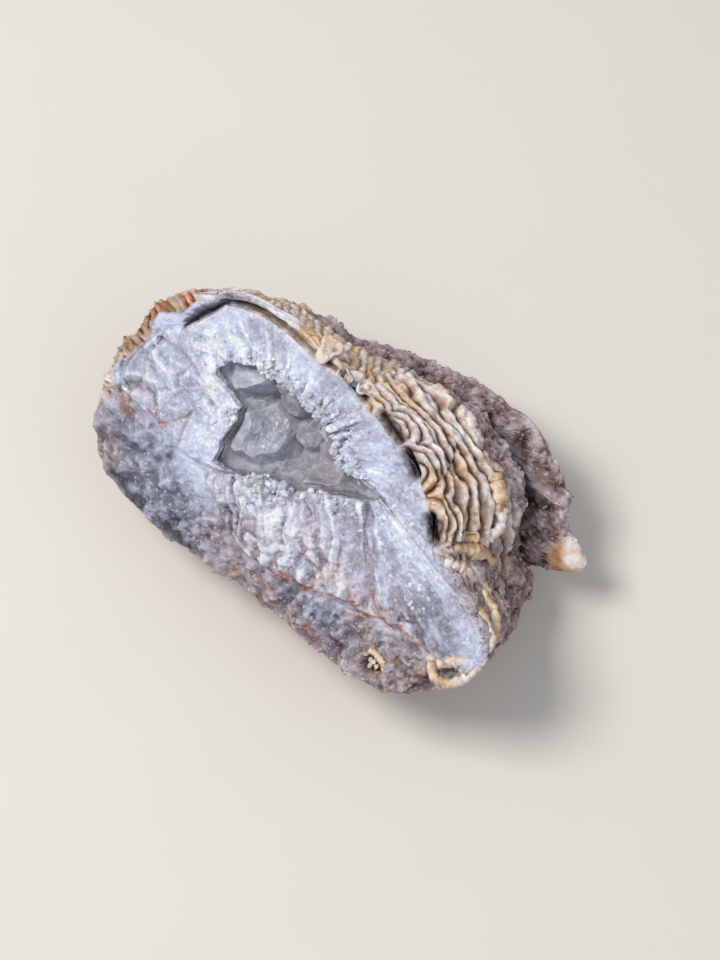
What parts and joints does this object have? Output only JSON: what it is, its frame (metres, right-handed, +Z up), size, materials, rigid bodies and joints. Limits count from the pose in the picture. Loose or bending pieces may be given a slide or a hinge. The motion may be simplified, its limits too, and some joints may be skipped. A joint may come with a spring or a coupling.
{
  "type": "geode half",
  "caption": "Broken agate geode half on its rounded back: ledged rind, thick quartz wall and a crystal-lined hollow in the tilted open face.",
  "frame": {"origin": "centre of the bounding box at its base, on the table under the stone", "axes": "+X along the long axis of the broken face, +Z up, the broken face looks to -Y and up at 53 degrees"},
  "size_m": [0.1295, 0.088, 0.0669],
  "materials": {
    "rind": "rough natural agate skin and granular matrix",
    "quartz": "broken milky quartz, glossy with matt patches",
    "crystal": "glossy grey translucent crystal faces"
  },
  "bodies": {
    "root": {"rind": "rind", "quartz_wall": "quartz", "crystal_crust": "crystal"}
  },
  "joints": []
}
